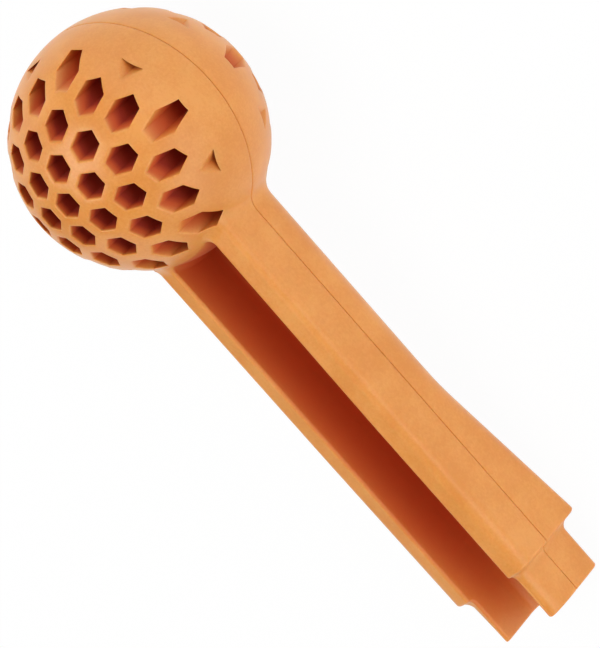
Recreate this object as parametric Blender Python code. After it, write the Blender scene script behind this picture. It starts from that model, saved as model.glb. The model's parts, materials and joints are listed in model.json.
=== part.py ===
"""Moulded rubber fetch toy: a honeycomb ball on a trough-shaped handle.

The toy is two mouldings bonded face to face at the seam that runs round it. It is drawn along its own
axis, with the ball's centre at the origin, X towards the free end and the seam in the XY plane, and is
then laid down on its ball and its heel. Lengths are in metres.
"""

import math

import bmesh
import bpy
from mathutils import Matrix, Vector

# Ball
BALL_DIAMETER = 0.065
BALL_SEGMENTS = 64

# Honeycomb pockets, all straight along the direction in which the mould opens
POCKET_PITCH = 0.0093
POCKET_FLATS = 0.0064
POCKET_DRAFT = math.radians(0.8)
POCKET_FLOOR = 0.004        # floor of every pocket, above or below the seam
POCKET_BORDER = 0.00185     # rubber between the outermost pockets and the ball's widest circle
POCKET_REACH = 3.5          # pockets whose centres lie within this many pitches of the middle one
BORDER_SIDES = 12           # the outermost pockets end in flat walls, like the sides of this figure

# Handle: a trough with two flanks and a floor, open towards +Z and at its free end
HANDLE_WIDTH = 0.030
HANDLE_REACH = 0.1405       # ball centre to the end of the flanks
TROUGH_WIDTH = 0.0158
FLANK_TOP = 0.0121          # top of the flanks above the seam
HANDLE_BACK = 0.0121        # back of the handle below the seam
TROUGH_FLOOR = 0.0046       # trough floor below the seam
FLANK_BALL_RADIUS = 0.0015  # rounding of the flanks' outer top edges at the ball
FLANK_END_RADIUS = 0.0042   # and at their free end
FLANK_INNER_RADIUS = 0.0011
BACK_RADIUS = 0.0083
FLOOR_RADIUS = 0.0025
NECK_RADIUS = 0.005         # fillet between the ball and the outside of the handle
TROUGH_END_RADIUS = 0.0015  # fillet between the ball and the inside of the trough
NECK_SINK = 0.0001          # how far the fillets start below the ball's surface
ROOT_DEPTH = 0.5            # share of the ball's radius at which the handle starts inside it

# Heel: the back of the handle drops away in a soft S towards the free end
HEEL_LENGTH = 0.040
HEEL_FLAT = 0.0095          # level stretch between the drop and the end of the flanks
HEEL_DROP = 0.003
HEEL_RADIUS = 0.002

# Spigot: the stepped-down end
SPIGOT_LENGTH = 0.0143
SPIGOT_STEP = 0.0032        # step at the sides
SPIGOT_TOP_STEP = 0.0019
SPIGOT_BACK_STEP = 0.00365
SHOULDER_RADIUS = 0.0008    # rounded rim where the flanks end
SPIGOT_RIM_RADIUS = 0.0004  # rounded rim of the spigot

# Bond line between the two mouldings
SEAM_GAP = 0.0003

ARC_STEPS = 5
END_STEPS = 3
NECK_STEPS = 5
HEEL_STEPS = 6
OVERLAP = 0.0005            # how far a tool runs past the face that it cuts or joins

RUBBER_COLOUR = (0.74, 0.30, 0.075, 1.0)
RUBBER_ROUGHNESS = 0.55

BALL_RADIUS = BALL_DIAMETER / 2
SPIGOT_ROOT_RADIUS = SPIGOT_STEP - SHOULDER_RADIUS
HEEL_END = HANDLE_REACH - HEEL_FLAT
INNER_SHARE = 0.3           # most of a wall's thickness that its inner rounded edge may take
OUTER_SHARE = 0.95          # most of what is left that its outer rounded edge may take
FILLET_SHARE = 0.7          # most of the trough's floor radius that the fillet at its end may take
TROUGH_END_FILLET = min(TROUGH_END_RADIUS, FLOOR_RADIUS * FILLET_SHARE)
OBJECT_NAME = "honeycomb_fetch_toy"


def clear_scene():
    for existing in list(bpy.data.objects):
        bpy.data.objects.remove(existing, do_unlink=True)


def new_collection(name):
    collection = bpy.data.collections.new(name)
    bpy.context.scene.collection.children.link(collection)
    return collection


def rubber(name):
    material = bpy.data.materials.new(name)
    material.use_nodes = True
    shader = material.node_tree.nodes["Principled BSDF"]
    shader.inputs["Base Color"].default_value = RUBBER_COLOUR
    shader.inputs["Roughness"].default_value = RUBBER_ROUGHNESS
    shader.inputs["Metallic"].default_value = 0.0
    return material


def object_from(bm, name, collection):
    """Turn a bmesh into an object, with its faces pointing outwards."""
    bmesh.ops.remove_doubles(bm, verts=bm.verts, dist=1e-6)
    bmesh.ops.dissolve_degenerate(bm, edges=bm.edges, dist=1e-6)
    bmesh.ops.recalc_face_normals(bm, faces=bm.faces)
    mesh = bpy.data.meshes.new(name)
    bm.to_mesh(mesh)
    bm.free()
    made = bpy.data.objects.new(name, mesh)
    collection.objects.link(made)
    return made


def as_cutter(made):
    made.hide_render = True
    made.display_type = "WIRE"
    return made


def boolean(target, operation, tool):
    modifier = target.modifiers.new(operation.lower() + "_" + tool.name, "BOOLEAN")
    modifier.operation = operation
    modifier.solver = "EXACT"
    modifier.object = tool


def arc(centre, radius, start, end, fillets, hollow=False):
    """Points on a circular arc, angles in degrees.

    Each point is (y, z, normal y, normal z, neck fillet), the fillet running from the first to the second
    of two radii.
    """
    points = []
    facing = -1 if hollow else 1
    for step in range(ARC_STEPS + 1):
        share = step / ARC_STEPS
        angle = math.radians(start + (end - start) * share)
        out = (math.cos(angle), math.sin(angle))
        fillet = fillets[0] + (fillets[1] - fillets[0]) * share
        place = (centre[0] + radius * out[0], centre[1] + radius * out[1])
        points.append((*place, facing * out[0], facing * out[1], fillet))
    return points


def mirrored(outline):
    return [(-y, z, -normal_y, normal_z, fillet) for y, z, normal_y, normal_z, fillet in reversed(outline)]


def flank_outline(x, inset):
    """Section of the flank at +Y, from just past the seam. A positive inset moves its outer faces inwards."""
    inner = TROUGH_WIDTH / 2
    outer = HANDLE_WIDTH / 2 - inset
    top = FLANK_TOP - inset * SPIGOT_TOP_STEP / SPIGOT_STEP
    seam = -OVERLAP
    along = min(max((x - BALL_RADIUS) / (HANDLE_REACH - BALL_RADIUS), 0.0), 1.0)
    edge = FLANK_BALL_RADIUS + (FLANK_END_RADIUS - FLANK_BALL_RADIUS) * along
    round_in = min(FLANK_INNER_RADIUS, (outer - inner) * INNER_SHARE)
    round_out = min(edge, (outer - inner - round_in) * OUTER_SHARE)
    over_top = (NECK_RADIUS + TROUGH_END_FILLET) / 2
    outline = [(outer, seam, 1, 0, NECK_RADIUS)]
    outline += arc((outer - round_out, top - round_out), round_out, 0, 90, (NECK_RADIUS, over_top))
    outline += arc((inner + round_in, top - round_in), round_in, 90, 180, (over_top, TROUGH_END_FILLET))
    outline.append((inner, seam, -1, 0, TROUGH_END_FILLET))
    return outline


def trough_outline(inset, drop, corner):
    """Section of the handle up to just past the seam, with its back lowered by drop."""
    inner = TROUGH_WIDTH / 2
    outer = HANDLE_WIDTH / 2 - inset
    back = -HANDLE_BACK - drop + inset * SPIGOT_BACK_STEP / SPIGOT_STEP
    bend = (inner - FLOOR_RADIUS, FLOOR_RADIUS - TROUGH_FLOOR)
    seam = OVERLAP
    outside = [(outer, seam, 1, 0, NECK_RADIUS)]
    outside += arc((outer - corner, back + corner), corner, 0, -90, (NECK_RADIUS, NECK_RADIUS))
    inside = arc(bend, FLOOR_RADIUS, -90, 0, (TROUGH_END_FILLET, TROUGH_END_FILLET), hollow=True)
    inside.append((inner, seam, -1, 0, TROUGH_END_FILLET))
    return outside + mirrored(outside) + mirrored(inside) + inside


def neck_point(outline_point, step):
    """A point of the fillet that leads one line of the handle into the ball, ball end at step 0.

    In the plane of that line and its normal the ball is a circle, which the fillet touches.
    """
    y, z, normal_y, normal_z, fillet = outline_point
    height = y * normal_y + z * normal_z
    circle = math.sqrt((BALL_RADIUS - NECK_SINK) ** 2 - y ** 2 - z ** 2 + height ** 2)
    centre = math.sqrt((circle + fillet) ** 2 - (height + fillet) ** 2)
    start = math.atan2(-(height + fillet), -centre)
    if start > 0:
        start -= 2 * math.pi
    angle = start + (-math.pi / 2 - start) * step / NECK_STEPS
    swell = fillet * (1 + math.sin(angle))
    return (centre + fillet * math.cos(angle), y + swell * normal_y, z + swell * normal_z)


def handle_rings(outline_at):
    """Rings of points along the handle, from inside the ball to the rim of the spigot."""
    plain = outline_at(BALL_RADIUS, 0.0)
    rings = [[(BALL_RADIUS * ROOT_DEPTH, point[0], point[1]) for point in plain]]
    for step in range(NECK_STEPS + 1):
        rings.append([neck_point(point, step) for point in plain])
    for x, inset in handle_stations():
        rings.append([(x, point[0], point[1]) for point in outline_at(x, inset)])
    return rings


def loft(bm, rings):
    """Join closed rings of equal point count into one capped body."""
    rows = [[bm.verts.new(point) for point in ring] for ring in rings]
    count = len(rows[0])
    for row, following in zip(rows, rows[1:]):
        for index in range(count):
            after = (index + 1) % count
            bm.faces.new((row[index], row[after], following[after], following[index]))
    bm.faces.new(rows[0])
    bm.faces.new(list(reversed(rows[-1])))


def rounded_rim(x, inset, radius):
    """(x, inset) pairs that round the outer rim of an end face standing at x."""
    stations = []
    for step in range(END_STEPS + 1):
        angle = math.radians(90 * step / END_STEPS)
        stations.append((x - radius * (1 - math.sin(angle)), inset + radius * (1 - math.cos(angle))))
    return stations


def spigot_stations():
    """(x, inset) pairs from the shoulder, over the root fillet, to the rim of the spigot."""
    stations = []
    for step in range(1, END_STEPS + 1):
        angle = math.radians(90 * step / END_STEPS)
        x = HANDLE_REACH + SPIGOT_ROOT_RADIUS * (1 - math.cos(angle))
        stations.append((x, SPIGOT_STEP - SPIGOT_ROOT_RADIUS * (1 - math.sin(angle))))
    return stations + rounded_rim(HANDLE_REACH + SPIGOT_LENGTH, SPIGOT_STEP, SPIGOT_RIM_RADIUS)


def heel_fraction(x):
    """How far the heel has dropped at x, from 0 to 1."""
    along = min(max((x - HEEL_END) / HEEL_LENGTH + 1, 0.0), 1.0)
    return along * along * (3 - 2 * along)


def handle_stations():
    """(x, inset) pairs beyond the neck."""
    heel = [(HEEL_END - HEEL_LENGTH * (1 - step / HEEL_STEPS), 0.0) for step in range(HEEL_STEPS + 1)]
    return heel + rounded_rim(HANDLE_REACH, 0.0, SHOULDER_RADIUS) + spigot_stations()


def ball(name, collection):
    bm = bmesh.new()
    bmesh.ops.create_uvsphere(bm, u_segments=BALL_SEGMENTS, v_segments=BALL_SEGMENTS // 2, radius=BALL_RADIUS)
    return object_from(bm, name, collection)


def parting_block(side, collection):
    """A block whose face is the seam of one half: side is 1 for the front half and -1 for the rear half."""
    size = 2 * (BALL_DIAMETER + HANDLE_REACH + SPIGOT_LENGTH)
    bm = bmesh.new()
    place = Matrix.Translation((0, 0, side * (SEAM_GAP - size) / 2))
    bmesh.ops.create_cube(bm, size=size, matrix=place)
    return as_cutter(object_from(bm, f"parting_tool_{side}", collection))


def flanks(collection):
    """The two walls of the trough above the seam, as one tool with two bodies."""
    bm = bmesh.new()
    loft(bm, handle_rings(flank_outline))
    loft(bm, handle_rings(lambda x, inset: mirrored(flank_outline(x, inset))))
    return as_cutter(object_from(bm, "flank_tool", collection))


def trough_section(x, inset):
    share = heel_fraction(x)
    corner = BACK_RADIUS + (HEEL_RADIUS - BACK_RADIUS) * share
    return trough_outline(inset, HEEL_DROP * share, corner)


def trough(collection):
    """The floor of the trough with the lower part of both walls and the heel."""
    bm = bmesh.new()
    loft(bm, handle_rings(trough_section))
    return as_cutter(object_from(bm, "trough_tool", collection))


def pocket_centres():
    """Centres (x, y) of the pockets, in rows along Y, leaving out the one where the trough starts."""
    row_step = POCKET_PITCH * math.sqrt(3) / 2
    rows = math.ceil(POCKET_REACH) + 1
    centres = []
    for row in range(-rows, rows + 1):
        for column in range(-rows, rows + 1):
            x = row * row_step
            y = (column + 0.5 * (row % 2)) * POCKET_PITCH
            within = math.hypot(x, y) < POCKET_REACH * POCKET_PITCH
            in_trough = x > BALL_RADIUS - POCKET_FLATS and abs(y) < HANDLE_WIDTH / 2
            if within and not in_trough:
                centres.append((x, y))
    return centres


def pockets(side, collection):
    """Tapered hexagonal pins from outside the ball down to the pocket floors, within a flat-sided border."""
    depth = BALL_RADIUS + OVERLAP - POCKET_FLOOR
    mouth = POCKET_FLATS / math.sqrt(3)
    foot = mouth - depth * math.tan(POCKET_DRAFT)
    middle = POCKET_FLOOR + depth / 2
    bm = bmesh.new()
    for x, y in pocket_centres():
        place = Matrix.Translation((x, y, side * middle)) @ Matrix.Rotation(math.radians(90), 4, "Z")
        radii = (foot, mouth) if side > 0 else (mouth, foot)
        bmesh.ops.create_cone(
            bm, cap_ends=True, segments=6, radius1=radii[0], radius2=radii[1], depth=depth, matrix=place)
    pins = as_cutter(object_from(bm, f"pin_tool_{side}", collection))
    half_side = math.pi / BORDER_SIDES
    reach = (BALL_RADIUS - POCKET_BORDER) / math.cos(half_side)
    bm = bmesh.new()
    bmesh.ops.create_cone(
        bm, cap_ends=True, segments=BORDER_SIDES, radius1=reach, radius2=reach, depth=BALL_DIAMETER * 2,
        matrix=Matrix.Rotation(half_side, 4, "Z"))
    border = as_cutter(object_from(bm, f"border_tool_{side}", collection))
    border.parent = pins
    boolean(pins, "INTERSECT", border)
    return pins


def lying_tilt():
    """Angle by which the free end drops until the heel is level with the underside of the ball."""
    heel = Vector((HANDLE_REACH - SHOULDER_RADIUS, HANDLE_BACK + HEEL_DROP))
    return math.asin(BALL_RADIUS / heel.length) - math.atan2(heel.y, heel.x)


def main():
    clear_scene()
    parts = new_collection(OBJECT_NAME)
    tools = new_collection("moulding_tools")
    tilt = lying_tilt()
    low_end = -BALL_RADIUS
    spigot_rim = FLANK_TOP - SPIGOT_TOP_STEP * (1 + SPIGOT_RIM_RADIUS / SPIGOT_STEP)
    high_end = (HANDLE_REACH + SPIGOT_LENGTH) * math.cos(tilt) + spigot_rim * math.sin(tilt)
    lying = bpy.data.objects.new("lying_pose", None)
    lying.rotation_euler = (0, tilt, 0)
    lying.location = (-(low_end + high_end) / 2, 0, BALL_RADIUS)
    parts.objects.link(lying)
    halves = (("front_half", 1, flanks(tools)), ("rear_half", -1, trough(tools)))
    for name, side, handle in halves:
        half = ball(name, parts)
        pins = pockets(side, tools)
        parting = parting_block(side, tools)
        boolean(half, "UNION", handle)
        boolean(half, "DIFFERENCE", pins)
        boolean(half, "DIFFERENCE", parting)
        half.data.materials.append(rubber(name + "_rubber"))
        for item in (half, handle, pins, parting):
            item.parent = lying
        half.data.shade_smooth()
        half.data.set_sharp_from_angle(angle=math.radians(35))


main()
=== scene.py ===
import json
import math

import bmesh
import bpy
import numpy as np
from bpy.props import FloatProperty, FloatVectorProperty, PointerProperty
from mathutils import Matrix, Vector, bvhtree, kdtree
from mathutils.geometry import delaunay_2d_cdt


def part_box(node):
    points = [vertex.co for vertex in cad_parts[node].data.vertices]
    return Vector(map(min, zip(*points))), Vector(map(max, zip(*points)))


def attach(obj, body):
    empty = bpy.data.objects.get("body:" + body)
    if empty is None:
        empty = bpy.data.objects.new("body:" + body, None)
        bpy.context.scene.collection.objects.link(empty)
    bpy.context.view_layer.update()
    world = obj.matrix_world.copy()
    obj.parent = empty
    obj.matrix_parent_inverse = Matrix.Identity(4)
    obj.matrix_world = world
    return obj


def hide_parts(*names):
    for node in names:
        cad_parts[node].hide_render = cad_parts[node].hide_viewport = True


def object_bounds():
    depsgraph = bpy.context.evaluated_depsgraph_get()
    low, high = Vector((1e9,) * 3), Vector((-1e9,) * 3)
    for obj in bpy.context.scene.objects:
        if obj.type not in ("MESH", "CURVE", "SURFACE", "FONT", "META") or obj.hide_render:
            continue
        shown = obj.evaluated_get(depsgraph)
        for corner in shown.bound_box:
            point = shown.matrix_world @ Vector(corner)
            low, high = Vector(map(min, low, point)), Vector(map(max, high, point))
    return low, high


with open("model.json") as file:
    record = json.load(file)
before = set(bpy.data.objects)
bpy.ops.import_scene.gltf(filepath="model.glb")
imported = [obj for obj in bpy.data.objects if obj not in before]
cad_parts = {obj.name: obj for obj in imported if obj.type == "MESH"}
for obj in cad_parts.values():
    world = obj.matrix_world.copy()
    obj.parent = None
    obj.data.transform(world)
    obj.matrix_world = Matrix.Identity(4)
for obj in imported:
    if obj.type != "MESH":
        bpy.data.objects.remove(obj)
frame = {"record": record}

bl_info = {
    "name": "Honeycomb fetch toy",
    "version": (1, 0, 0),
    "blender": (4, 5, 0),
    "location": "3D View > Sidebar > Fetch toy",
    "description": "Builds the rubber halves of a honeycomb fetch toy and the studio around it",
    "category": "Object",
}

CAD_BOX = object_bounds()
TROUGH_FLOOR_MOUNT = next(m for m in frame["record"]["mounts"] if m["name"] == "trough_floor")
LYING_TILT = math.atan2(TROUGH_FLOOR_MOUNT["axis"][0], TROUGH_FLOOR_MOUNT["axis"][2])
BALL_WIDTH = round(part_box("front_half")[1].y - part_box("front_half")[0].y, 4)

# Points along curves and edges
ARC_STEPS = 12
NECK_STEPS = 14
HEEL_STEPS = 20
RIM_STEPS = 6
LIP_STEPS = 4
SEAM_STEPS = 3
LINE_STEPS = 10
SIDE_POINTS = 9
CORNER_POINTS = 4
SHARP_ANGLE = math.radians(38)
MERGE = 2e-6                # points of a half that are closer than this become one
FLAT_MERGE = 1e-8           # the same while a surface laid flat is cut into triangles
TINY = 1e-12                # keeps a division by zero away
BEND_CLEARANCE = 0.1        # room between an edge and the fillets' points, in mesh grains
GRID_CLEARANCE = 0.6        # room between an edge and the ball's own points, in mesh grains

# Flanks
INNER_SHARE = 0.3           # most of a flank's thickness that its inner rounded edge may take
OUTER_SHARE = 0.95          # most of what is left that its outer rounded edge may take
FALL_POWER = 1.5            # how late along the flanks their outer rounding grows

# How closed in a point is, which sets the painted shade: a darker, redder colour down the pockets and in the
# trough
LIP_SHARE = 0.9             # way across a pocket to its lower lip, in widths of the pocket
SKIN_DEPTH = 0.00005        # points deeper than this under the ball's surface are in a pocket
SKIN_SHARE = 0.7            # weight of the depth under the surface beside that under the lower lip
POCKET_SHARE = 1.2          # value at a depth of one width of the pocket
POCKET_POWER = 1.6          # how late down a pocket it grows
TROUGH_SHARE = 0.68         # value at a depth of one width of the trough, up to the next limit
TROUGH_MOST = 0.5           # most that the trough reaches, from which on the pockets turn to pits
OPEN_END_SHARE = 0.1        # what is left of it at the trough's open end
OPEN_END_REACH = 2.5        # how far the open end thins the painted shade in the trough, in widths of the trough
PAINTED_SHADE_RATE = 6.5           # how fast the painted shade sets in
PIT_SHADE_DEPTH = 1.05            # where the painted shade at the bottom of the pockets is full

# Finish of the rubber
CLOUD_WEIGHT = 0.6          # weight of the clouds in the colour, the rest is speckle
TONE_STOPS = (0.38, 0.5, 0.62)  # where the deep, the main and the pale colour lie
SPECKLE_ROUGHNESS = 0.16    # how much the speckle varies the roughness
RECESS_ROUGHNESS = 0.3      # how much rougher the recesses are
SHEEN_ROUGHNESS = 0.4
GLOW_RADIUS = (1.0, 0.3, 0.08)  # reach of red, green and blue light, in glow depths

# Studio: each light's name, the setting with its power, width, height, direction and distance
SOFTBOXES = (
    ("high_light", "high", 0.9, 0.9, (-0.1, 0.42, 0.9), 0.9),
    ("top_light", "top", 0.6, 0.6, (-0.28, -0.16, 0.94), 0.8),
    ("near_strip_ball", "near_ball", 1.2, 0.45, (-0.7, 0.72, 0.26), 0.75),
    ("near_strip_end", "near_end", 1.2, 0.45, (0.7, 0.72, 0.26), 0.75),
    ("far_strip_ball", "far", 0.8, 0.3, (-0.66, -0.68, 0.32), 0.8),
    ("far_strip_end", "far", 0.8, 0.3, (0.66, -0.68, 0.32), 0.8),
)
FLOOR_SIZE = 3.0
SENSOR_WIDTH = 36.0


def number(name, description, default, **kind):
    return FloatProperty(name=name, description=description, default=default, **kind)


def length(name, description, default):
    return number(name, description, default, unit="LENGTH", precision=5)


def share(name, description, default):
    return number(name, description, default, subtype="FACTOR", min=0, max=1)


def angle(name, description, degrees):
    return number(name, description, math.radians(degrees), subtype="ANGLE")


def power(name, description, watts):
    return number(name, description, watts, unit="POWER")


def colour(name, description, default):
    return FloatVectorProperty(
        name=name, description=description, default=default, subtype="COLOR", min=0, max=1)


def clamped(value):
    return min(max(value, 0.0), 1.0)


def mixed(first, last, part):
    return first + (last - first) * part


def heading(turn):
    return Vector((math.cos(turn), math.sin(turn)))


def quarter_turn(steps):
    """Sine and cosine at even steps from 0 to 90 degrees."""
    turns = [math.radians(90 * step / steps) for step in range(steps + 1)]
    return [(math.sin(turn), math.cos(turn)) for turn in turns]


class BallSizes(bpy.types.PropertyGroup):
    """Sizes of the ball and its honeycomb."""

    diameter: length("Diameter", "Ball across its widest circle", BALL_WIDTH)
    pitch: length("Pitch", "Distance between neighbouring pockets", 0.0093)
    flats: length("Across flats", "Width of a pocket at the top of the ball", 0.0064)
    draft: angle("Draft", "Taper of the pocket walls", 0.8)
    floor: length("Floor", "Height of the pocket floors over the seam", 0.004)
    border: length("Border", "Rubber between the outermost pockets and the widest circle", 0.00185)
    border_sides: number("Border sides", "Flat sides of the border", 12)
    reach: number("Reach", "Pockets out from the middle one, in pitches", 3.5)
    lip: length("Lip", "Rounding of the pocket mouths", 0.00045)
    corner: length("Corner", "Rounding of the pockets' upright corners", 0.0003)
    grain: length("Mesh grain", "Spacing of the points on the ball's surface", 0.0009)


class HandleSizes(bpy.types.PropertyGroup):
    """Sizes of the trough-shaped handle."""

    width: length("Width", "Handle across both flanks", 0.030)
    reach: length("Reach", "Ball centre to the end of the flanks", 0.1405)
    trough: length("Trough", "Width of the trough", 0.0162)
    trough_flare: length("Trough flare", "How much wider each side of the trough is at the ball", 0.0007)
    top: length("Flank top", "Top of the flanks over the seam", 0.0121)
    back: length("Back", "Back of the handle under the seam", 0.0121)
    floor: length("Trough floor", "Trough floor under the seam", 0.0046)
    fall_at_ball: length("Fall at the ball", "Rounding of the flanks' outer top edges there", 0.002)
    fall_at_end: length("Fall at the end", "Rounding of the flanks' outer top edges at their end", 0.0043)
    lean_at_ball: length("Lean at the ball", "How far the flanks' tops rise to the trough there", 0.00075)
    lean_at_end: length("Lean at the end", "How far the flanks' tops rise to the trough at their end", 0.0002)
    spigot_fall_start: length("Spigot fall, start", "How far the spigot's tops fall where it starts", 0.0015)
    spigot_fall_end: length("Spigot fall, end", "How far the spigot's tops fall at its end", 0.0085)
    inner_edge: length("Inner edge", "Rounding of the flanks' inner top edge", 0.0009)
    back_radius: length("Back radius", "Rounding of the back's edges", 0.0083)
    floor_radius: length("Floor radius", "Rounding of the trough's bottom edges", 0.0025)
    neck: length("Neck fillet", "Fillet between the ball and the outside of the handle", 0.005)
    trough_end: length("Trough end fillet", "Fillet between the ball and the trough", 0.0015)
    heel: length("Heel length", "Length over which the back drops away", 0.0505)
    heel_ease: share("Heel ease", "Share of the heel's length over which its slope starts", 0.2)
    heel_flat: length("Heel flat", "Level stretch between the drop and the end of the flanks", 0.001)
    heel_drop: length("Heel drop", "How far the back drops", 0.003)
    heel_radius: length("Heel radius", "Rounding of the back's edges at the heel", 0.002)
    spigot: length("Spigot length", "Length of the stepped end", 0.0143)
    side_step: length("Side step", "Depth of the step at the sides of the end", 0.0032)
    top_step: length("Top step", "Depth of the step at the flanks' tops", 0.0019)
    back_step: length("Back step", "Depth of the step at the back", 0.00365)
    shoulder: length("Shoulder", "Rounding of the rim where the flanks end", 0.0008)
    rim: length("Rim", "Rounding of the spigot's rim", 0.0006)
    seam_gap: length("Seam gap", "Gap between the two halves", 0.00012)
    seam_round: length("Seam rounding", "Rounding of both halves' edges at the seam", 0.0003)


class RubberLook(bpy.types.PropertyGroup):
    """Finish of the rubber."""

    body: colour("Body", "Main colour", (0.725, 0.287, 0.054))
    pale: colour("Pale", "Colour of the paler clouds", (0.76, 0.32, 0.07))
    deep: colour("Deep", "Colour of the deeper clouds", (0.69, 0.256, 0.042))
    # painted shade: the darker, redder colour that stands in for the shade in the trough and down the pockets
    recess: colour("Recess", "Colour in the trough and down the pockets", (0.58, 0.078, 0.008))
    # painted shade: the darkest colour, standing in for the shade at the bottom of the pockets
    pit_shade: colour("Pit", "Colour at the bottom of the pockets", (0.38, 0.026, 0.005))
    roughness: share("Roughness", "Roughness of the skin", 0.38)
    gloss: share("Gloss", "Strength of the skin's pale gloss", 0.55)
    sheen: share("Sheen", "Dusty sheen at grazing angles", 0.05)
    glow: share("Glow", "Share of the light that passes under the skin", 0.4)
    glow_depth: length("Glow depth", "How far red light passes under the skin", 0.0015)
    cloud: length("Cloud size", "Size of the clouds of colour", 0.011)
    speckle: length("Speckle size", "Size of the fine speckle", 0.0007)
    bump: length("Bump height", "Height of the fine texture", 0.00003)


class StudioLook(bpy.types.PropertyGroup):
    """Floor, light and camera."""

    floor: colour("Floor", "Floor colour", (0.95, 0.95, 0.95))
    white: share("White", "How much of plain white the camera sees in place of the lit floor", 0.96)
    world: number("World", "Strength of the even light from all sides", 0.21)
    high: power("High light", "Weak light high on the camera's side", 0.97)
    top: power("Top light", "Light overhead", 3.9)
    near_ball: power("Near, ball", "Low light by the ball, on the camera's side", 2.1)
    near_end: power("Near, end", "Low light by the free end, on the camera's side", 3.4)
    far: power("Far strips", "Each low light on the far side", 1.0)
    distance: length("Camera distance", "From the point aimed at", 0.9246)
    elevation: angle("Elevation", "Camera above the floor", 43.19)
    azimuth: angle("Azimuth", "Camera round the toy", 180.28)
    roll: angle("Roll", "Camera turned about its own axis", 126.2)
    aim: FloatVectorProperty(
        name="Aim", description="Point aimed at, from the ball's centre along the handle",
        default=(0.0600, 0.0037, 0.0039), subtype="TRANSLATION")
    lens: number("Lens", "Focal length in millimetres", 208.6)


class FetchToy(bpy.types.PropertyGroup):
    """All settings of the toy."""

    ball: PointerProperty(type=BallSizes)
    handle: PointerProperty(type=HandleSizes)
    rubber: PointerProperty(type=RubberLook)
    studio: PointerProperty(type=StudioLook)


class Socket:
    """An output socket of a node tree. Arithmetic on it adds Math or Vector Math nodes."""

    def __init__(self, tree, output):
        self.tree = tree
        self.output = output

    def out(self, name):
        return Socket(self.tree, self.output.node.outputs[name])

    def math(self, operation, *values, kind="ShaderNodeMath"):
        inputs = dict(enumerate((self, *values)))
        return self.tree.add(kind, {"operation": operation}, inputs)

    def vector(self, operation, *values):
        return self.math(operation, *values, kind="ShaderNodeVectorMath")

    def is_vector(self):
        return self.output.type == "VECTOR"

    def __add__(self, other):
        return self.vector("ADD", other) if self.is_vector() else self.math("ADD", other)

    def __radd__(self, other):
        return self + other

    def __sub__(self, other):
        return self.vector("SUBTRACT", other) if self.is_vector() else self.math("SUBTRACT", other)

    def __rsub__(self, other):
        return (self * -1) + other

    def __mul__(self, other):
        if self.is_vector():
            return self.tree.add(
                "ShaderNodeVectorMath", {"operation": "SCALE"}, {"Vector": self, "Scale": other})
        return self.math("MULTIPLY", other)

    def __rmul__(self, other):
        return self * other

    def __truediv__(self, other):
        return self.math("DIVIDE", other)

    def dot(self, other):
        return self.vector("DOT_PRODUCT", other).out("Value")

    def part(self, axis):
        return self.tree.add("ShaderNodeSeparateXYZ", {}, {0: self}).out(axis)


class Nodes:
    """Builds a node tree."""

    def __init__(self, tree):
        self.tree = tree
        tree.nodes.clear()

    def add(self, kind, settings=None, inputs=None):
        """A node of this kind with these settings, its sockets set to these values or links."""
        node = self.tree.nodes.new(kind)
        for name, value in (settings or {}).items():
            if name == "stops":
                self.set_stops(node.color_ramp, value)
            else:
                setattr(node, name, value)
        for name, value in (inputs or {}).items():
            if isinstance(value, Socket):
                self.tree.links.new(value.output, node.inputs[name])
            else:
                node.inputs[name].default_value = value
        return Socket(self, node.outputs[0]) if node.outputs else node

    @staticmethod
    def set_stops(ramp, stops):
        while len(ramp.elements) > 1:
            ramp.elements.remove(ramp.elements[0])
        ramp.elements[0].position, ramp.elements[0].color = stops[0]
        for position, value in stops[1:]:
            ramp.elements.new(position).color = value

    def blend(self, part, first, second):
        """Mixes two colours."""
        mix = self.add("ShaderNodeMix", {"data_type": "RGBA"}, {0: part, 6: first, 7: second})
        return Socket(self, mix.output.node.outputs[2])

    def xyz(self, x, y, z=0.0):
        return self.add("ShaderNodeCombineXYZ", {}, {"X": x, "Y": y, "Z": z})


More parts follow.
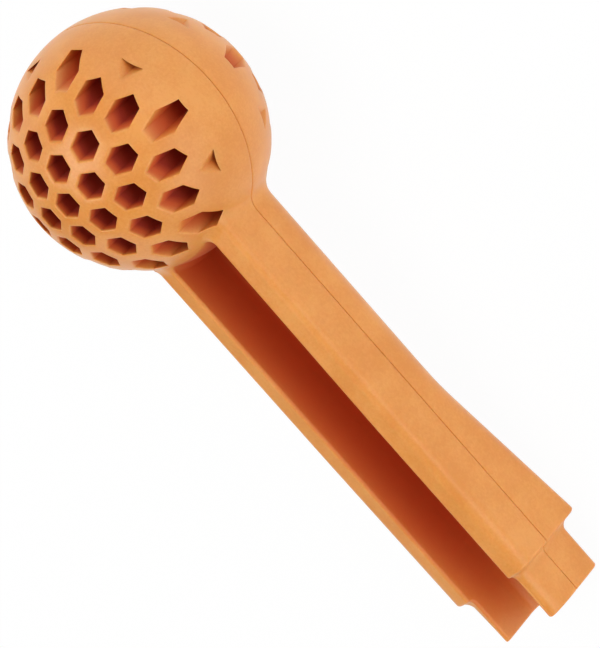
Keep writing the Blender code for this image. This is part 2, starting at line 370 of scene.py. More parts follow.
def rubber(look):
    """Matte moulded rubber: soft clouds of colour, a fine speckle and painted shade, a darker red, in the
    recesses.
    """
    material = bpy.data.materials.new("moulded_rubber")
    material.use_nodes = True
    nodes = Nodes(material.node_tree)
    place = nodes.add("ShaderNodeTexCoord").out("Object")

    def noise(size, detail, roughness):
        inputs = {"Vector": place, "Scale": 1 / size, "Detail": detail, "Roughness": roughness}
        return nodes.add("ShaderNodeTexNoise", {}, inputs)

    clouds = noise(look.cloud, detail=3.0, roughness=0.55)
    speckle = noise(look.speckle, detail=2.0, roughness=0.6)
    tone = clouds * CLOUD_WEIGHT + speckle * (1 - CLOUD_WEIGHT)
    tones = [(*tint, 1) for tint in (look.deep, look.body, look.pale)]
    skin = nodes.add("ShaderNodeValToRGB", {"stops": list(zip(TONE_STOPS, tones))}, {"Fac": tone})
    # painted shade: how closed in a point is darkens and reddens its colour, standing in for the shade of the
    # pockets and the trough
    closed = nodes.add("ShaderNodeAttribute", {"attribute_name": "recess"}).out("Fac")
    deep = 1 - (closed * -PAINTED_SHADE_RATE).math("EXPONENT")
    skin = nodes.blend(deep, skin, (*look.recess, 1))
    # painted shade: near the bottom of the pockets the colour turns darker still
    pit_range = {"Value": closed, "From Min": TROUGH_MOST, "From Max": PIT_SHADE_DEPTH}
    pit_shade = nodes.add("ShaderNodeMapRange", {}, pit_range)
    skin = nodes.blend(pit_shade, skin, (*look.pit_shade, 1))
    even = look.roughness - SPECKLE_ROUGHNESS / 2
    rough = speckle * SPECKLE_ROUGHNESS + deep * RECESS_ROUGHNESS + even
    bump = nodes.add("ShaderNodeBump", {}, {"Height": speckle, "Distance": look.bump, "Strength": 1.0})
    shader = nodes.add("ShaderNodeBsdfPrincipled", {}, {
        "Base Color": skin, "Roughness": rough, "Normal": bump, "Specular IOR Level": look.gloss,
        "Sheen Weight": look.sheen, "Sheen Roughness": SHEEN_ROUGHNESS, "Subsurface Weight": look.glow,
        "Subsurface Radius": GLOW_RADIUS, "Subsurface Scale": look.glow_depth})
    nodes.add("ShaderNodeOutputMaterial", {}, {"Surface": shader})
    return material


def placed(name, data):
    """A new object in the scene."""
    made = bpy.data.objects.new(name, data)
    bpy.context.collection.objects.link(made)
    return made


def lying_matrix(ball):
    """From the toy's own axes, with the ball's centre at the origin, to the toy lying on the floor."""
    radius = ball.diameter / 2
    place = Vector((CAD_BOX[0].x + radius, 0, radius))
    return Matrix.Translation(place) @ Matrix.Rotation(LYING_TILT, 4, "Y")


def hexagon(ball):
    """Outline of a pocket as (x, y, outward x, outward y), with flats towards Y and rounded corners."""
    corner_reach = (ball.flats / 2 - ball.corner) / math.cos(math.pi / 6)
    points = []
    for side in range(6):
        middle = math.radians(60 * side)
        centre = heading(middle) * corner_reach
        for step in range(CORNER_POINTS + 1):
            turn = middle + math.radians(60) * (step / CORNER_POINTS - 0.5)
            out = heading(turn)
            points.append((*(centre + out * ball.corner), *out))
        out = heading(middle + math.radians(30))
        first = centre + out * ball.corner
        last = heading(middle + math.radians(60)) * corner_reach + out * ball.corner
        for step in range(1, SIDE_POINTS):
            points.append((*first.lerp(last, step / SIDE_POINTS), *out))
    return points


def pocket_rings():
    """Rings of a pocket as (lip, fall, sink): round its lip, then the foot of its wall."""
    rings = [(1 - sine, 1 - cosine, 0.0) for sine, cosine in quarter_turn(LIP_STEPS)]
    return rings + [(0.0, 0.0, 1.0)]


def pocket_cup(ball):
    """One pocket as a flat stack of rings. The attributes say where each ring goes."""
    outline = hexagon(ball)
    rings = pocket_rings()
    count = len(outline)
    bm = bmesh.new()
    verts = [[bm.verts.new((x, y, 0)) for x, y, _, _ in outline] for _ in rings]
    for row, following in zip(verts, verts[1:]):
        for index in range(count):
            after = (index + 1) % count
            bm.faces.new((row[index], row[after], following[after], following[index]))
    bm.faces.new(verts[-1])
    mesh = bpy.data.meshes.new("pocket_cup")
    bm.to_mesh(mesh)
    bm.free()
    outward = [(out_x, out_y, 0.0) for _, _, out_x, out_y in outline] * len(rings)
    mesh.attributes.new("outward", "FLOAT_VECTOR", "POINT").data.foreach_set("vector", np.ravel(outward))
    for place, name in enumerate(("lip", "fall", "sink")):
        values = np.repeat([ring[place] for ring in rings], count)
        mesh.attributes.new(name, "FLOAT", "POINT").data.foreach_set("value", values)
    return placed("pocket_cup", mesh)


def pocket_centres(ball, handle):
    """Centres of the pockets, in rows along Y, leaving out the one where the trough starts."""
    row_step = ball.pitch * math.sqrt(3) / 2
    rows = math.ceil(ball.reach) + 1
    centres = []
    for row in range(-rows, rows + 1):
        for column in range(-rows, rows + 1):
            x = row * row_step
            y = (column + 0.5 * (row % 2)) * ball.pitch
            within = math.hypot(x, y) < ball.reach * ball.pitch
            in_trough = x > ball.diameter / 2 - ball.flats and abs(y) < handle.width / 2
            if within and not in_trough:
                centres.append((x, y, 0))
    return centres


POCKET_SIZES = ("Side", "Ball radius", "Half flats", "Draft", "Floor", "Border", "Border sides", "Lip")
POCKET_INPUTS = (
    ("Centres", "NodeSocketGeometry"),
    ("Cup", "NodeSocketObject"),
    *((name, "NodeSocketFloat") for name in POCKET_SIZES),
    ("Rubber", "NodeSocketMaterial"),
)


def pocket_tree():
    """Sets a cup on every centre and fits the rims of the cups to the ball."""
    tree = bpy.data.node_groups.new("Hexagonal pockets", "GeometryNodeTree")
    for name, kind in POCKET_INPUTS:
        tree.interface.new_socket(name=name, in_out="INPUT", socket_type=kind)
    tree.interface.new_socket(name="Pockets", in_out="OUTPUT", socket_type="NodeSocketGeometry")
    nodes = Nodes(tree)
    given = nodes.add("NodeGroupInput")
    place = nodes.add("GeometryNodeInputPosition")

    def stored(name, kind="FLOAT"):
        return nodes.add("GeometryNodeInputNamedAttribute", {"data_type": kind}, {"Name": name})

    marked = nodes.add(
        "GeometryNodeStoreNamedAttribute", {"data_type": "FLOAT_VECTOR"},
        {"Geometry": given.out("Centres"), "Name": "centre", "Value": place})
    cup = nodes.add("GeometryNodeObjectInfo", {}, {"Object": given.out("Cup")}).out("Geometry")
    cups = nodes.add("GeometryNodeInstanceOnPoints", {}, {"Points": marked, "Instance": cup})
    pockets = nodes.add("GeometryNodeRealizeInstances", {}, {"Geometry": cups})

    radius = given.out("Ball radius")
    lip = given.out("Lip")
    sink = stored("sink")
    centre = stored("centre", "FLOAT_VECTOR")

    def ball_height(plan):
        under = radius * radius - plan.dot(plan)
        return under.math("MAXIMUM", given.out("Floor") * given.out("Floor")).math("SQRT")

    def between(upper, lower):
        return upper + (lower - upper) * sink

    level = between(ball_height(place), given.out("Floor"))
    taper = 1 - (radius - level) * given.out("Draft").math("TANGENT") / given.out("Half flats")
    plan = centre + (place - centre) * taper
    sector = given.out("Border sides") * (1 / math.tau)
    turn = plan.part("Y").math("ARCTAN2", plan.part("X"))
    facing = (turn * sector).math("ROUND") / sector
    outwards = nodes.xyz(facing.math("COSINE"), facing.math("SINE"))
    beyond = (plan.dot(outwards) - given.out("Border")).math("MAXIMUM", 0.0)
    clipped = beyond.math("GREATER_THAN", 0.0)
    plan = plan - outwards * beyond
    outward = stored("outward", "FLOAT_VECTOR") * (1 - clipped) + outwards * clipped

    steepness = 1 - ball_height(plan) / radius
    radial = plan.vector("NORMALIZE")
    offset = outward * (stored("lip") * lip)
    offset = offset - radial * (radial.dot(offset) * steepness)
    plan = plan + offset
    height = between(ball_height(plan) - stored("fall") * lip, given.out("Floor"))
    fitted = nodes.xyz(plan.part("X"), plan.part("Y"), height * given.out("Side"))
    moved = nodes.add("GeometryNodeSetPosition", {}, {"Geometry": pockets, "Position": fitted})
    coated = nodes.add("GeometryNodeSetMaterial", {}, {"Geometry": moved, "Material": given.out("Rubber")})
    nodes.add("NodeGroupOutput", {}, {"Pockets": coated})
    return tree


def set_input(modifier, name, value):
    """Sets a Geometry Nodes input by its socket's identifier."""
    for item in modifier.node_group.interface.items_tree:
        if item.in_out == "INPUT" and item.name == name:
            modifier[item.identifier] = value


def pockets(toy, side, material):
    """All pockets of one half as a plain mesh, open at their lips."""
    ball = toy.ball
    cup = pocket_cup(ball)
    mesh = bpy.data.meshes.new("pocket_centres")
    mesh.from_pydata(pocket_centres(ball, toy.handle), [], [])
    carrier = placed("pocket_centres", mesh)
    modifier = carrier.modifiers.new("Hexagonal pockets", "NODES")
    modifier.node_group = pocket_tree()
    values = {
        "Cup": cup, "Side": float(side), "Ball radius": ball.diameter / 2, "Half flats": ball.flats / 2,
        "Draft": ball.draft, "Floor": ball.floor, "Border": ball.diameter / 2 - ball.border,
        "Border sides": ball.border_sides, "Lip": ball.lip, "Rubber": material}
    for name, value in values.items():
        set_input(modifier, name, value)
    evaluated = carrier.evaluated_get(bpy.context.evaluated_depsgraph_get())
    made = bpy.data.meshes.new_from_object(evaluated)
    carrier.modifiers.remove(modifier)
    bpy.data.objects.remove(carrier)
    bpy.data.objects.remove(cup)
    return made


def seam_level(handle):
    """Height over the seam at which the outer surface of a half starts to round over."""
    return handle.seam_gap / 2 + handle.seam_round


def arc(centre, width, height, start, end, fillets, hollow=False):
    """Points on an elliptical arc in degrees, each (y, z, normal y, normal z, neck fillet)."""
    facing = -1 if hollow else 1
    points = []
    for step in range(ARC_STEPS + 1):
        part = step / ARC_STEPS
        turn = math.radians(mixed(start, end, part))
        fillet = mixed(*fillets, part)
        place = (centre[0] + width * math.cos(turn), centre[1] + height * math.sin(turn))
        out = Vector((math.cos(turn) / width, math.sin(turn) / height)).normalized() * facing
        points.append((*place, *out, fillet))
    return points


def mirrored(outline):
    """The outline on the other side, run through backwards."""
    return [(-y, z, -normal_y, normal_z, fillet) for y, z, normal_y, normal_z, fillet in reversed(outline)]


def line(start, end):
    """Points between two points of an outline, without its ends."""
    shares = [step / LINE_STEPS for step in range(1, LINE_STEPS)]
    return [tuple(mixed(first, last, part) for first, last in zip(start, end)) for part in shares]


def flank_share(toy, x):
    """How far along the flanks x lies, from 0 at the ball to 1 at their end."""
    start = toy.ball.diameter / 2
    return clamped((x - start) / (toy.handle.reach - start))


def flank_lean(toy, x):
    """How much higher the flanks' tops are at the trough than outside."""
    return mixed(toy.handle.lean_at_ball, toy.handle.lean_at_end, flank_share(toy, x))


def heel_start(handle):
    """Where the back starts to drop away."""
    return handle.reach - handle.heel_flat - handle.heel


def trough_side(toy, x):
    """Half the trough's width, which grows from the heel's start to the ball."""
    handle = toy.handle
    near = toy.ball.diameter / 2
    far = heel_start(handle)
    return handle.trough / 2 + handle.trough_flare * clamped((far - x) / (far - near))


def flank_outline(toy, x, inset, flare):
    """The flank at +Y from its outer foot at the seam, over its top, to its inner foot."""
    handle = toy.handle
    inner = trough_side(toy, x) + flare
    outer = handle.width / 2 - inset
    top = handle.top - inset * handle.top_step / handle.side_step
    crest = top + flank_lean(toy, x)
    along = flank_share(toy, x) ** FALL_POWER
    beyond = clamped((x - handle.reach) / handle.spigot)
    flank_fall = mixed(handle.fall_at_ball, handle.fall_at_end, along)
    spigot_fall = mixed(handle.spigot_fall_start, handle.spigot_fall_end, beyond)
    fall = mixed(flank_fall, spigot_fall, min(inset / handle.side_step, 1.0))
    round_in = min(handle.inner_edge, (outer - inner) * INNER_SHARE)
    round_out = min(fall, (outer - inner - round_in) * OUTER_SHARE)
    foot_out = (outer, seam_level(handle), 1, 0, handle.neck)
    foot_in = (inner, seam_level(handle), -1, 0, handle.trough_end)
    fillets = (handle.neck, handle.trough_end)
    up = arc((outer - round_out, top - fall), round_out, fall, 0, 90, (handle.neck, handle.neck))
    down = arc((inner + round_in, crest - round_in), round_in, round_in, 90, 180, fillets)
    rise = [foot_out] + line(foot_out, up[0]) + up
    return rise + line(up[-1], down[0]) + down + line(down[-1], foot_in) + [foot_in]


def both_sides(foot, bend):
    """An outline from a foot at +Y round a bend, across to the mirrored bend and down to its foot."""
    side = [foot] + line(foot, bend[0]) + bend
    other = mirrored(side)
    return side + line(side[-1], other[0]) + other


def back_outline(handle, inset, drop, corner):
    """The outside of the rear half, from one edge at the seam round the back to the other."""
    outer = handle.width / 2 - inset
    back = -handle.back - drop + inset * handle.back_step / handle.side_step
    centre = (outer - corner, back + corner)
    foot = (outer, -seam_level(handle), 1, 0, handle.neck)
    return both_sides(foot, arc(centre, corner, corner, 0, -90, (handle.neck, handle.neck)))


def trough_outline(handle, inner, flare):
    """The inside of the rear half, from one edge at the seam over the trough floor to the other."""
    radius = handle.floor_radius
    swept = radius + flare
    centre = (inner - radius, radius - handle.floor)
    foot = (inner + flare, -seam_level(handle), -1, 0, handle.trough_end)
    fillets = (handle.trough_end, handle.trough_end)
    return both_sides(foot, arc(centre, swept, swept, 0, -90, fillets, hollow=True))


def neck_point(radius, outline_point, step):
    """A point of the fillet that leads one line of the handle into the ball, ball end at step 0."""
    y, z, normal_y, normal_z, fillet = outline_point
    height = y * normal_y + z * normal_z
    circle = math.sqrt(radius ** 2 - y ** 2 - z ** 2 + height ** 2)
    centre = math.sqrt((circle + fillet) ** 2 - (height + fillet) ** 2)
    start = math.atan2(-(height + fillet), -centre)
    if start > 0:
        start -= math.tau
    turn = start + (-math.pi / 2 - start) * step / NECK_STEPS
    swell = fillet * (1 + math.sin(turn))
    return (centre + fillet * math.cos(turn), y + swell * normal_y, z + swell * normal_z)


def rim_stations(x, inset, radius, flared):
    """(x, inset, flare) triples that round the rim of an end face at x."""
    stations = []
    for sine, cosine in quarter_turn(RIM_STEPS):
        shrink = radius * (1 - cosine)
        stations.append((x - radius * (1 - sine), inset + shrink, shrink if flared else 0.0))
    return stations


def handle_stations(handle):
    """(x, inset, flare) triples along the handle, from the heel's start to the rim of the spigot."""
    start = heel_start(handle)
    stations = [(start + handle.heel * step / HEEL_STEPS, 0.0, 0.0) for step in range(HEEL_STEPS + 1)]
    stations += rim_stations(handle.reach, 0.0, handle.shoulder, False)
    root = handle.side_step - handle.shoulder
    for sine, cosine in quarter_turn(RIM_STEPS)[1:]:
        x = handle.reach + root * (1 - cosine)
        stations.append((x, handle.side_step - root * (1 - sine), 0.0))
    return stations + rim_stations(handle.reach + handle.spigot, handle.side_step, handle.rim, True)


def strip(toy, outline_at):
    """Rings of points along the handle: the neck's fillet, then one ring at each station."""
    radius = toy.ball.diameter / 2
    plain = outline_at(radius, 0.0, 0.0)
    rings = []
    for step in range(NECK_STEPS + 1):
        rings.append([neck_point(radius, point, step) for point in plain])
    for x, inset, flare in handle_stations(toy.handle):
        rings.append([(x, point[0], point[1]) for point in outline_at(x, inset, flare)])
    return rings


def heel_share(handle, x):
    """How far the heel has dropped at x, from 0 to 1."""
    along = clamped((x - handle.reach + handle.heel_flat) / handle.heel + 1)
    ease = handle.heel_ease
    eased = along - ease / 2 if along > ease else along * along / (2 * ease)
    return eased / (1 - ease / 2)


def front_strips(toy):
    """The two flanks, each with the last of its lines whose neck fillet is meshed with the ball."""
    near = strip(toy, lambda x, inset, flare: flank_outline(toy, x, inset, flare))
    far = [[(x, -y, z) for x, y, z in ring] for ring in near]
    crest = len(near[0]) // 2
    return [(near, crest), (far, crest)], [near[-1], far[-1]]


def rear_strips(toy):
    """The back of the handle, with its neck fillets meshed with the ball, and the inside of the trough."""
    handle = toy.handle

    def back(x, inset, flare):
        part = heel_share(handle, x)
        corner = mixed(handle.back_radius, handle.heel_radius, part)
        return back_outline(handle, inset, handle.heel_drop * part, corner)

    outside = strip(toy, back)
    trough = strip(toy, lambda x, inset, flare: trough_outline(handle, trough_side(toy, x), flare))
    return [(outside, len(outside[0]) - 1), (trough, -1)], [outside[-1] + trough[-1][::-1]]


def seam_arc(toy, side, start, end):
    """Points on the ball at the seam from one point to another, the long way if they are outside."""
    level = side * seam_level(toy.handle)
    ring = math.sqrt((toy.ball.diameter / 2) ** 2 - level ** 2)
    first = math.atan2(start[1], start[0])
    last = math.atan2(end[1], end[0])
    wall_middle = (toy.handle.trough + toy.handle.width) / 4
    if abs(start[1]) > wall_middle:
        last -= math.tau
    steps = max(2, round(abs(last - first) * ring / toy.ball.grain))
    turns = [mixed(first, last, step / steps) for step in range(1, steps)]
    return [(ring * math.cos(turn), ring * math.sin(turn), level) for turn in turns]


def neck_run(rings, crest):
    """The edge of the ball's surface at a strip: along the seam, round the handle and back to the ball."""
    if crest < 0:
        return rings[0]
    out = [ring[0] for ring in rings[:NECK_STEPS]]
    back = [ring[crest] for ring in rings[:NECK_STEPS]]
    return out + rings[NECK_STEPS][:crest + 1] + back[::-1] + rings[0][crest + 1:]


def ball_regions(toy, side, strips):
    """Closed outlines of the ball's surface and the neck's fillets between the seam and the handle."""
    runs = [neck_run(*item) for item in strips]
    if side > 0:
        near, far = runs
        outline = near + seam_arc(toy, side, near[-1], far[-1]) + far[::-1]
        return [outline + seam_arc(toy, side, far[0], near[0])]
    return [run + seam_arc(toy, side, run[-1], run[0]) for run in runs]


def flat(points, radius):
    """Points of the ball laid flat, each at its true distance over the surface from the pole."""
    points = np.asarray(points, float)
    out = np.hypot(points[:, 0], points[:, 1])
    arc_length = radius * np.arctan2(out, np.abs(points[:, 2]))
    return points[:, :2] * (arc_length / np.maximum(out, TINY))[:, None]


def lifted(points, radius, side):
    """The way back from flat to the ball."""
    points = np.asarray(points, float)
    out = np.hypot(points[:, 0], points[:, 1])
    turn = out / radius
    plan = points * (radius * np.sin(turn) / np.maximum(out, TINY))[:, None]
    return np.column_stack((plan, side * radius * np.cos(turn)))


def inside(points, outline):
    """Which points lie in a closed outline, by counting crossings."""
    x, y = points[:, 0][:, None], points[:, 1][:, None]
    x0, y0 = outline[:, 0][None], outline[:, 1][None]
    x1, y1 = np.roll(outline[:, 0], -1)[None], np.roll(outline[:, 1], -1)[None]
    spans = (y0 > y) != (y1 > y)
    rise = np.where(y1 == y0, 1.0, y1 - y0)
    crossed = spans & (x < (x1 - x0) * (y - y0) / rise + x0)
    return crossed.sum(axis=1) % 2 == 1


def loops_of(bm):
    """The open edges of a mesh as closed runs of vertices."""
    following = {}
    for edge in bm.edges:
        if len(edge.link_loops) == 1:
            loop = edge.link_loops[0]
            following[loop.link_loop_next.vert] = loop.vert
    loops = []
    while following:
        start, current = following.popitem()
        run = [start]
        while current is not start:
            run.append(current)
            current = following.pop(current)
        loops.append(run)
    return loops


def ball_skin(toy, side, strips, lips):
    """Triangles of the ball and the neck's fillets, outside the pockets' lips."""
    radius = toy.ball.diameter / 2
    grain = toy.ball.grain
    runs = ball_regions(toy, side, strips)
    outlines = [flat(run, radius) for run in runs]
    holes = [flat(run, radius) for run in lips]
    crests = [(rings, crest) for rings, crest in strips if crest > 0]
    fillets = [flat(rings[0][:crest + 1] + rings[NECK_STEPS][crest::-1], radius) for rings, crest in crests]
    places = [point for run in runs + lips for point in run]
    plan = [point for run in outlines + holes for point in run]
    edges = []
    start = 0
    for run in outlines + holes:
        edges += [(start + index, start + (index + 1) % len(run)) for index in range(len(run))]
        start += len(run)

    def within(points, areas):
        return np.any([inside(points, area) for area in areas], axis=0)

    def add(points, flat_points, clearance):
        near = kdtree.KDTree(len(plan))
        for index, point in enumerate(plan):
            near.insert((*point, 0), index)
        near.balance()
        kept = [near.find((*point, 0))[2] > clearance for point in flat_points]
        kept &= within(flat_points, outlines) & ~within(flat_points, holes)
        places.extend(points[kept])
        plan.extend(flat_points[kept])

    bends = [ring[1:crest] for rings, crest in crests for ring in rings[:NECK_STEPS]]
    bends = np.array([point for row in bends for point in row])
    add(bends, flat(bends, radius), grain * BEND_CLEARANCE)
    count = math.ceil(radius * math.pi / 2 / grain) + 1
    grid = []
    for row in range(-count * 2, count * 2 + 1):
        for column in range(-count, count + 1):
            grid.append(((column + 0.5 * (row % 2)) * grain, row * grain * math.sqrt(3) / 2))
    grid = np.array(grid)
    grid = grid[np.hypot(grid[:, 0], grid[:, 1]) < radius * math.pi / 2]
    grid = grid[~within(grid, fillets)]
    add(lifted(grid, radius, side), grid, grain * GRID_CLEARANCE)
    flat_plan = [Vector(point) for point in plan]
    made, _, faces, origin, _, _ = delaunay_2d_cdt(flat_plan, edges, [], 0, FLAT_MERGE)
    if any(not sources for sources in origin):
        raise RuntimeError("outlines on the ball cross")
    middles = np.array([[sum(made[i][axis] for i in face) / len(face) for axis in (0, 1)] for face in faces])
    kept = within(middles, outlines) & ~within(middles, holes)
    verts = [places[sources[0]] for sources in origin]
    return verts, [face for face, keep in zip(faces, kept) if keep]


def lift_to_neck(bm, toy, side, strips):
    """Raises the lips of the pockets that cut into the neck's fillets on to the fillets."""
    radius = toy.ball.diameter / 2
    sink = bm.verts.layers.float["sink"]
    trees = []
    for rings, _ in strips:
        width = len(rings[0])
        verts = [point for ring in rings[:NECK_STEPS + 2] for point in ring]
        faces = []
        for row in range(NECK_STEPS + 1):
            for index in range(width - 1):
                first = row * width + index
                faces.append((first, first + 1, first + width + 1, first + width))
        trees.append(bvhtree.BVHTree.FromPolygons(verts, faces))
    for vert in bm.verts:
        if vert[sink] > 0.5:
            continue
        on_ball = math.sqrt(max(radius ** 2 - vert.co.x ** 2 - vert.co.y ** 2, 0.0))
        for tree in trees:
            hit = tree.ray_cast((vert.co.x, vert.co.y, side * radius * 2), (0, 0, -side))[0]
            if hit and side * hit.z > on_ball:
                vert.co.z += hit.z - side * on_ball


def add_strip(bm, rings, crest):
    """Faces between the rings, without the neck fillets that are meshed with the ball."""
    rows = [[bm.verts.new(point) for point in ring] for ring in rings]
    for number, (row, following) in enumerate(zip(rows, rows[1:])):
        for index in range(max(crest, 0) if number < NECK_STEPS else 0, len(row) - 1):
            bm.faces.new((row[index], row[index + 1], following[index + 1], following[index]))


def close_seam(bm, handle, side):
    """Rounds the edge of a half over into the seam and closes the half there.

    Inside the trough the two halves meet without a line, so their edges there aren't rounded.
    """
    trough_reach = handle.trough / 2 + handle.trough_flare + handle.rim
    for run in loops_of(bm):
        plan = np.array([vert.co.xy for vert in run])
        before = plan - np.roll(plan, 1, axis=0)
        after = np.roll(plan, -1, axis=0) - plan
        twice_area = np.sum(plan[:, 0] * np.roll(plan[:, 1], -1) - np.roll(plan[:, 0], -1) * plan[:, 1])
        inward = np.sign(twice_area) * np.array([-1.0, 1.0])
        normals = [np.column_stack((way[:, 1], way[:, 0])) * inward for way in (before, after)]
        normals = [way / np.linalg.norm(way, axis=1)[:, None] for way in normals]
        mitre = (normals[0] + normals[1]) / (1 + np.sum(normals[0] * normals[1], axis=1))[:, None]
        in_trough = (plan[:, 0] > 0) & (np.abs(plan[:, 1]) < trough_reach)
        gap = np.where(in_trough, MERGE * 2, handle.seam_gap / 2)
        rounding = np.where(in_trough, 0.0, handle.seam_round)
        row = run
        for sine, cosine in quarter_turn(SEAM_STEPS)[1:]:
            drop = (seam_level(handle) - gap) * sine
            moved = plan + mitre * (rounding * (1 - cosine))[:, None]
            levels = side * (seam_level(handle) - drop)
            following = [bm.verts.new((*point, level)) for point, level in zip(moved, levels)]
            for index in range(len(row)):
                after_index = (index + 1) % len(row)
                bm.faces.new((row[index], row[after_index], following[after_index], following[index]))
            row = following
        outline = np.array([vert.co.xy for vert in row])
        edges = [(index, (index + 1) % len(row)) for index in range(len(row))]
        flat_plan = [Vector(point) for point in outline]
        _, _, faces, origin, _, _ = delaunay_2d_cdt(flat_plan, edges, [], 0, FLAT_MERGE)
        corners = [[origin[index][0] for index in face] for face in faces]
        kept = inside(np.array([outline[face].mean(axis=0) for face in corners]), outline)
        for face, keep in zip(corners, kept):
            if keep:
                bm.faces.new([row[index] for index in face])


def half(toy, name, side, material):
    """One half of the toy: pockets, ball skin, handle and seam, merged into one closed mesh."""
    strips, ends = front_strips(toy) if side > 0 else rear_strips(toy)
    bm = bmesh.new()
    bm.from_mesh(pockets(toy, side, material))
    lift_to_neck(bm, toy, side, strips)
    for layer in ("outward", "lip", "fall", "sink", "centre"):
        for layers in (bm.verts.layers.float, bm.verts.layers.float_vector):
            if layer in layers:
                layers.remove(layers[layer])
    bmesh.ops.remove_doubles(bm, verts=bm.verts, dist=MERGE)
    bmesh.ops.dissolve_degenerate(bm, edges=bm.edges, dist=MERGE)
    lips = [[tuple(vert.co) for vert in run] for run in loops_of(bm)]
    skin, faces = ball_skin(toy, side, strips, lips)
    verts = [bm.verts.new(point) for point in skin]
    for face in faces:
        bm.faces.new([verts[index] for index in face])
    for item in strips:
        add_strip(bm, *item)
    for end in ends:
        bm.faces.new([bm.verts.new(point) for point in end])
    loose = [vert for vert in bm.verts if not vert.link_faces]
    bmesh.ops.delete(bm, geom=loose, context="VERTS")
    bmesh.ops.remove_doubles(bm, verts=bm.verts, dist=MERGE)
    bmesh.ops.recalc_face_normals(bm, faces=bm.faces)
    close_seam(bm, toy.handle, side)
    bmesh.ops.recalc_face_normals(bm, faces=bm.faces)
    mark_painted_shade(bm, toy)
    bmesh.ops.transform(bm, matrix=lying_matrix(toy.ball), verts=bm.verts)
    mesh = bpy.data.meshes.new(name)
    bm.to_mesh(mesh)
    bm.free()
    mesh.materials.clear()
    mesh.materials.append(material)
    mesh.shade_smooth()
    mesh.set_sharp_from_angle(angle=SHARP_ANGLE)
    return placed(name, mesh)


def mark_painted_shade(bm, toy):
    """Stores how closed in each point is, by its depth and the width of its pocket or the trough, for the
    painted shade there.
    """
    radius = toy.ball.diameter / 2
    handle = toy.handle
    trough_reach = handle.trough / 2 + handle.trough_flare + MERGE
    trough_floor = -handle.floor - MERGE
    # painted shade: this value darkens and reddens the colour of closed-in points
    recess = bm.verts.layers.float.new("recess")
    for vert in bm.verts:
        under_skin = radius - vert.co.length
        if under_skin > SKIN_DEPTH:
            lower_lip = radius ** 2 - (vert.co.xy.length + toy.ball.flats * LIP_SHARE) ** 2
            under_lip = math.sqrt(max(lower_lip, 0.0)) - abs(vert.co.z)
            depth = max(under_lip, under_skin * SKIN_SHARE) / toy.ball.flats
            vert[recess] = POCKET_SHARE * depth ** POCKET_POWER
        elif vert.co.x > 0 and abs(vert.co.y) < trough_reach and vert.co.z > trough_floor:
            from_end = (handle.reach + handle.spigot - vert.co.x) / handle.trough
            depth = max(handle.top + flank_lean(toy, vert.co.x) - vert.co.z, 0.0) / handle.trough
            closed = min(math.sqrt(depth) * TROUGH_SHARE, TROUGH_MOST)
            vert[recess] = closed * min(OPEN_END_SHARE + from_end / OPEN_END_REACH, 1.0)


def dress(piece, node):
    """Puts a piece in the place of a CAD node."""
    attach(piece, "root")
    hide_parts(node)


class FETCHTOY_OT_front_half(bpy.types.Operator):
    """Build the half with the open side of the trough"""

    bl_idname = "fetch_toy.front_half"
    bl_label = "Front half"

    def execute(self, context):
        toy = context.scene.fetch_toy
        dress(half(toy, "front_moulding", 1, rubber(toy.rubber)), "front_half")
        return {"FINISHED"}


class FETCHTOY_OT_rear_half(bpy.types.Operator):
    """Build the half with the back of the handle and the heel"""

    bl_idname = "fetch_toy.rear_half"
    bl_label = "Rear half"

    def execute(self, context):
        toy = context.scene.fetch_toy
        dress(half(toy, "rear_moulding", -1, rubber(toy.rubber)), "rear_half")
        return {"FINISHED"}


def floor_material(studio):
    """Pale floor that the camera sees as nearly white, with the toy's shadow kept."""
    material = bpy.data.materials.new("studio_floor")
    material.use_nodes = True
    nodes = Nodes(material.node_tree)
    path = nodes.add("ShaderNodeLightPath")
    seen = path.out("Is Camera Ray").math("MAXIMUM", path.out("Is Glossy Ray"))
    seen = seen.math("MAXIMUM", path.out("Is Transmission Ray"))
    lit = nodes.add("ShaderNodeBsdfDiffuse", {}, {"Color": (*studio.floor, 1)})
    white = nodes.add("ShaderNodeEmission", {}, {"Color": (1, 1, 1, 1), "Strength": 1.0})
    surface = nodes.add("ShaderNodeMixShader", {}, {0: seen * studio.white, 1: lit, 2: white})
    nodes.add("ShaderNodeOutputMaterial", {}, {"Surface": surface})
    return material


def floor(studio):
    """The floor that the toy lies on."""
    bm = bmesh.new()
    bmesh.ops.create_grid(bm, x_segments=1, y_segments=1, size=FLOOR_SIZE)
    mesh = bpy.data.meshes.new("studio_floor")
    bm.to_mesh(mesh)
    bm.free()
    mesh.materials.append(floor_material(studio))
    made = placed("studio_floor", mesh)
    made.location.z = CAD_BOX[0].z


def softbox(name, watts, width, height, direction, distance, target):
    """A wide soft light at a distance from the target, facing it."""
    data = bpy.data.lights.new(name, "AREA")
    data.shape = "RECTANGLE"
    data.size = width
    data.size_y = height
    data.energy = watts
    lamp = placed(name, data)
    away = Vector(direction).normalized()
    lamp.location = target + away * distance
    lamp.rotation_euler = away.to_track_quat("Z", "Y").to_euler()


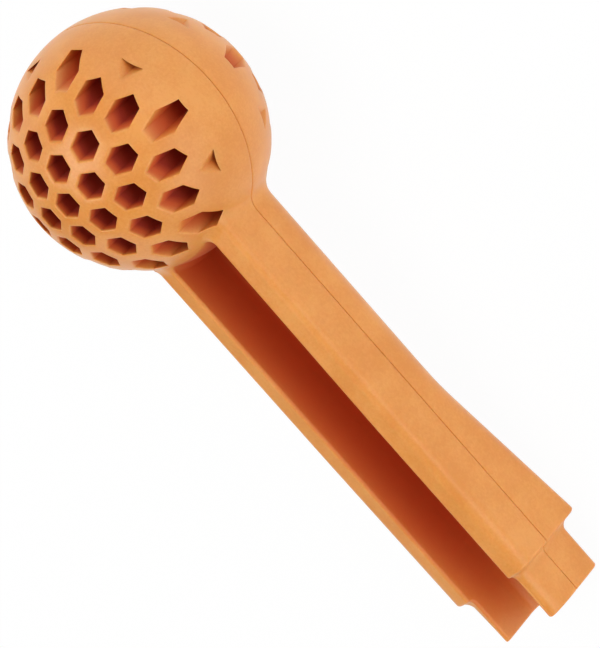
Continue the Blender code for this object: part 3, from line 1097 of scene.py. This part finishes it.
def camera(toy):
    """The camera, turned about its own axis so that the handle runs down to the right."""
    studio = toy.studio
    data = bpy.data.cameras.new("camera")
    data.lens = studio.lens
    data.sensor_width = SENSOR_WIDTH
    made = placed("camera", data)
    turn = Matrix.Rotation(studio.azimuth, 4, "Z") @ Matrix.Rotation(math.pi / 2 - studio.elevation, 4, "X")
    turn = turn @ Matrix.Rotation(-studio.roll, 4, "Z")
    target = lying_matrix(toy.ball) @ Vector(studio.aim)
    made.matrix_world = Matrix.Translation(target) @ turn @ Matrix.Translation((0, 0, studio.distance))
    bpy.context.scene.camera = made


class FETCHTOY_OT_studio(bpy.types.Operator):
    """Set up the floor, the light and the camera"""

    bl_idname = "fetch_toy.studio"
    bl_label = "Studio"

    def execute(self, context):
        toy = context.scene.fetch_toy
        scene = context.scene
        scene.view_settings.view_transform = "Standard"
        world = bpy.data.worlds.new("studio")
        world.use_nodes = True
        nodes = Nodes(world.node_tree)
        sky = nodes.add("ShaderNodeBackground", {}, {"Color": (1, 1, 1, 1), "Strength": toy.studio.world})
        nodes.add("ShaderNodeOutputWorld", {}, {"Surface": sky})
        scene.world = world
        floor(toy.studio)
        target = (CAD_BOX[0] + CAD_BOX[1]) / 2
        for name, setting, *shape in SOFTBOXES:
            softbox(name, getattr(toy.studio, setting), *shape, target)
        camera(toy)
        return {"FINISHED"}


class FETCHTOY_PT_sidebar(bpy.types.Panel):
    """The toy's builders in the sidebar"""

    bl_idname = "FETCHTOY_PT_sidebar"
    bl_label = "Fetch toy"
    bl_space_type = "VIEW_3D"
    bl_region_type = "UI"
    bl_category = "Fetch toy"

    def draw(self, context):
        toy = context.scene.fetch_toy
        for group in (toy.ball, toy.handle, toy.rubber, toy.studio):
            box = self.layout.box()
            for name in group.bl_rna.properties.keys():
                if name not in ("rna_type", "name"):
                    box.prop(group, name)
        for operator in OPERATORS:
            self.layout.operator(operator.bl_idname)


OPERATORS = (FETCHTOY_OT_front_half, FETCHTOY_OT_rear_half, FETCHTOY_OT_studio)
CLASSES = (BallSizes, HandleSizes, RubberLook, StudioLook, FetchToy, *OPERATORS, FETCHTOY_PT_sidebar)


def register():
    for item in CLASSES:
        bpy.utils.register_class(item)
    bpy.types.Scene.fetch_toy = PointerProperty(type=FetchToy)


def unregister():
    del bpy.types.Scene.fetch_toy
    for item in reversed(CLASSES):
        bpy.utils.unregister_class(item)


def main():
    register()
    bpy.ops.fetch_toy.front_half()
    bpy.ops.fetch_toy.rear_half()
    bpy.ops.fetch_toy.studio()


if __name__ == "__main__":
    main()
